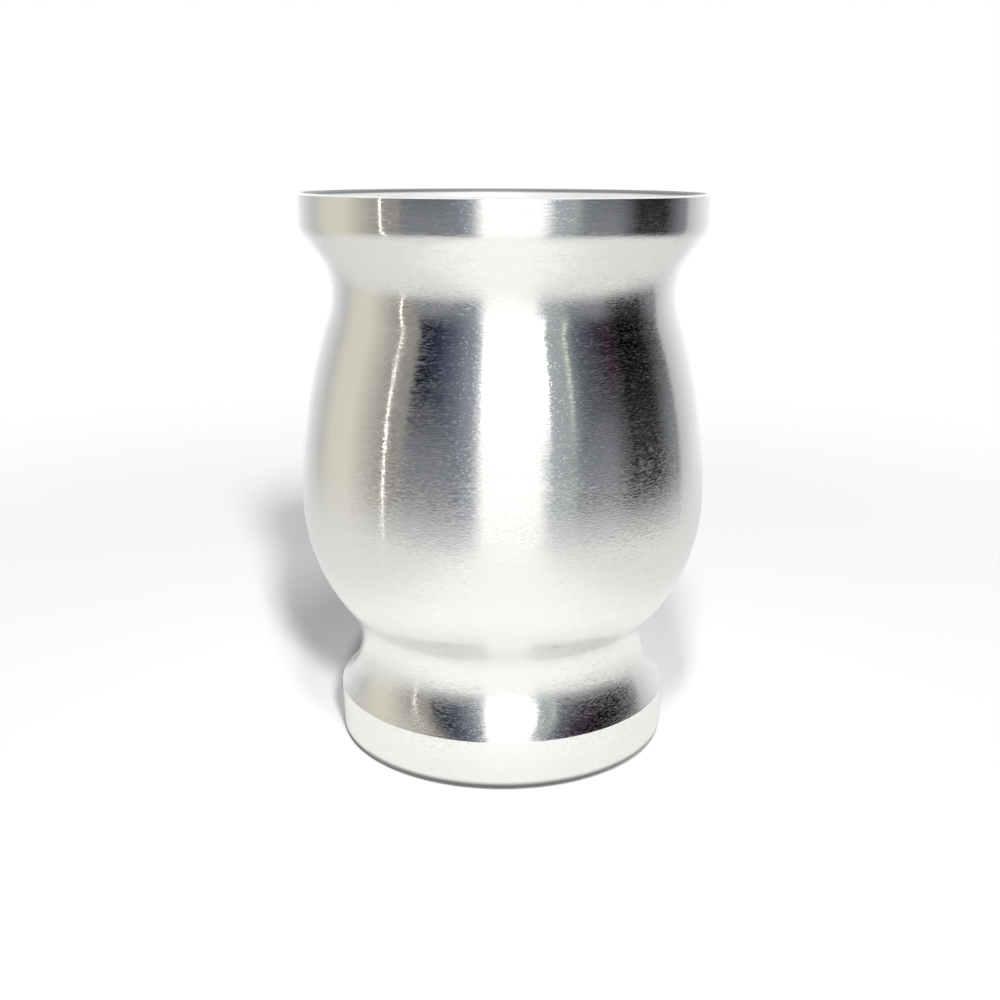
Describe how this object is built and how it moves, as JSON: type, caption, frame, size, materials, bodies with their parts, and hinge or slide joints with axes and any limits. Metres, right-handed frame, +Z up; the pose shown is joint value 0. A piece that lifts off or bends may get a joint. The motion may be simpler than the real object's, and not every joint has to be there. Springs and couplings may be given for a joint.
{
  "type": "mate cup",
  "caption": "Round double-walled steel cup for mate tea, with a flat-banded lip, a narrow neck, a full belly and a flared foot.",
  "frame": {"origin": "centre of the ring that the cup stands on, on the table", "axes": "+Z up along the cup's axis, through the middle of its mouth; the cup is round, so X and Y are free, and the picture looks along +Y"},
  "size_m": [0.0738, 0.0738, 0.1],
  "materials": {
    "outer_shell": "brushed round the axis",
    "inner_cup": "satin",
    "base_plate": "satin"
  },
  "bodies": {
    "root": {"outer_shell": "outer_shell", "inner_cup": "inner_cup", "base_plate": "base_plate"}
  },
  "joints": []
}
